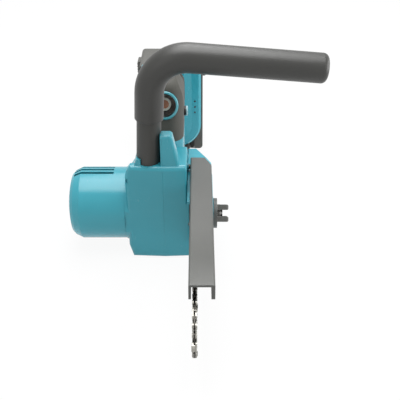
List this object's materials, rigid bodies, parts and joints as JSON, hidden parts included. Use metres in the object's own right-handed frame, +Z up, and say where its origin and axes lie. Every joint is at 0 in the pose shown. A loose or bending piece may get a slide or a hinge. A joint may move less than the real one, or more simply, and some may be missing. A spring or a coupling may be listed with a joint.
{
  "type": "cordless mini chainsaw",
  "caption": "Cordless one-hand pruning chainsaw with a side motor, hooded guide bar, tube side handle, rear grip with lamp and slide-on battery.",
  "frame": {"origin": "on the floor under the motor shaft, on the joint plane between the two housing halves", "axes": "+Z up, the guide bar points along -Y, the motor sticks out along -X and the side handle along +X"},
  "size_m": [0.216, 0.4059, 0.1965],
  "materials": {
    "housing_plastic": "satin moulded teal",
    "overmould_rubber": "matt dark grey",
    "sleeve_rubber": "matt dark grey",
    "tube_paint": "matt dark grey coat",
    "guard_plastic": "satin mid grey",
    "knob_plastic": "satin mid grey",
    "bar_steel": "ground along the bar",
    "chain_steel": "bright ground",
    "machined_steel": "turned",
    "bearing_steel": "polished",
    "cast_aluminium": "as cast",
    "lamination_steel": "dark laminated",
    "copper_wire": "varnished copper",
    "inner_plastic": "black moulded",
    "battery_plastic": "satin dark grey",
    "cell_wrap": "shrink wrap",
    "board": "coated board",
    "lamp_ring_plastic": "glossy light teal",
    "lamp_dark_plastic": "glossy dark grey",
    "lamp_pale_plastic": "glossy off-white",
    "led_phosphor": "warm phosphor",
    "lens_glass": "clear",
    "trigger_plastic": "satin black",
    "lock_plastic": "satin black",
    "lock_pale": "glossy pale grey",
    "feet_rubber": "matt"
  },
  "bodies": {
    "body": {"left_housing": "housing_plastic", "right_housing": "housing_plastic", "motor_cover": "housing_plastic", "grip_overmould": "overmould_rubber", "housing_screws": "machined_steel", "handle_tube": "tube_paint", "handle_sleeve": "sleeve_rubber", "tube_plug": "inner_plastic", "gear_case": "cast_aluminium", "gear_case_lid": "cast_aluminium", "output_bearings": "bearing_steel", "motor_bearings": "bearing_steel", "stator_core": "lamination_steel", "stator_windings": "copper_wire", "bar_stud": "machined_steel", "bar_pad": "machined_steel", "sprocket_cover": "housing_plastic", "guard_pin": "machined_steel", "lamp_bezel": "lamp_ring_plastic", "lamp_reflector": "lamp_dark_plastic", "lamp_ring": "lamp_pale_plastic", "lamp_lens": "lens_glass", "led_chip": "led_phosphor", "trigger_pin": "machined_steel", "trigger_switch": "inner_plastic", "controller_board": "board", "terminal_block": "inner_plastic", "rear_feet": "feet_rubber"},
    "drive": {"output_shaft": "machined_steel", "drive_gear": "machined_steel", "chain_sprocket": "machined_steel", "sprocket_washer": "machined_steel", "sprocket_clip": "machined_steel"},
    "rotor": {"rotor_core": "lamination_steel", "motor_shaft": "machined_steel", "pinion": "machined_steel", "cooling_fan": "inner_plastic"},
    "bar": {"guide_bar": "bar_steel", "tension_nut": "machined_steel", "chain_drive_links": "chain_steel", "chain_tie_straps": "chain_steel", "chain_cutters": "chain_steel"},
    "tension_screw": {"tension_screw": "machined_steel"},
    "guard": {"chain_guard": "guard_plastic"},
    "knob": {"bar_knob": "knob_plastic", "knob_insert": "machined_steel"},
    "trigger": {"trigger": "trigger_plastic"},
    "lock": {"lock_button": "lock_plastic", "lock_cap": "lock_pale"},
    "battery": {"battery_case": "battery_plastic", "battery_cover": "battery_plastic", "battery_cells": "cell_wrap"},
    "left_latch": {"left_latch": "battery_plastic"},
    "right_latch": {"right_latch": "battery_plastic"}
  },
  "joints": [
    {"name": "drive_spin", "type": "hinge", "parent": "body", "child": "drive", "pos_m": [0, 0.01785, 0.045], "axis": [1, 0, 0], "continuous": true},
    {"name": "rotor_spin", "type": "hinge", "parent": "body", "child": "rotor", "pos_m": [0, 0, 0.0385], "axis": [1, 0, 0], "continuous": true},
    {"name": "bar_slide", "type": "slide", "parent": "body", "child": "bar", "axis": [0, -1, 0], "range_m": [-0.004, 0.0025], "deforming": ["chain_drive_links", "chain_tie_straps", "chain_cutters"]},
    {"name": "tension_turn", "type": "hinge", "parent": "body", "child": "tension_screw", "pos_m": [0.0232, -0.02, 0.0366], "axis": [0, 1, 0], "range_deg": [-2100, 1320]},
    {"name": "guard_hinge", "type": "hinge", "parent": "body", "child": "guard", "pos_m": [0.03, 0.004, 0.0736], "axis": [-1, 0, 0], "range_deg": [0, 35]},
    {"name": "knob_turn", "type": "hinge", "parent": "body", "child": "knob", "pos_m": [0.045, -0.0266, 0.045], "axis": [1, 0, 0], "continuous": true},
    {"name": "trigger_pull", "type": "hinge", "parent": "body", "child": "trigger", "pos_m": [0, 0.06, 0.108], "axis": [1, 0, 0], "range_deg": [0, 12], "stiffness_Nm_per_rad": 0.2, "springref_deg": -8.59},
    {"name": "lock_press", "type": "slide", "parent": "body", "child": "lock", "axis": [-1, 0, 0], "range_m": [0, 0.0025], "stiffness_N_per_m": 400, "springref_m": -0.002},
    {"name": "battery_slide", "type": "slide", "parent": "body", "child": "battery", "axis": [0, 0, 1], "range_m": [0, 0.1]},
    {"name": "left_latch_press", "type": "slide", "parent": "battery", "child": "left_latch", "axis": [1, 0, 0], "range_m": [0, 0.001], "stiffness_N_per_m": 600, "springref_m": -0.002},
    {"name": "right_latch_press", "type": "slide", "parent": "battery", "child": "right_latch", "axis": [-1, 0, 0], "range_m": [0, 0.001], "stiffness_N_per_m": 600, "springref_m": -0.002}
  ],
  "couplings": [
    {"joint": "rotor_spin", "follows": "drive_spin", "ratio": -2.8},
    {"joint": "tension_turn", "follows": "bar_slide", "rad_per_m": 8976}
  ]
}
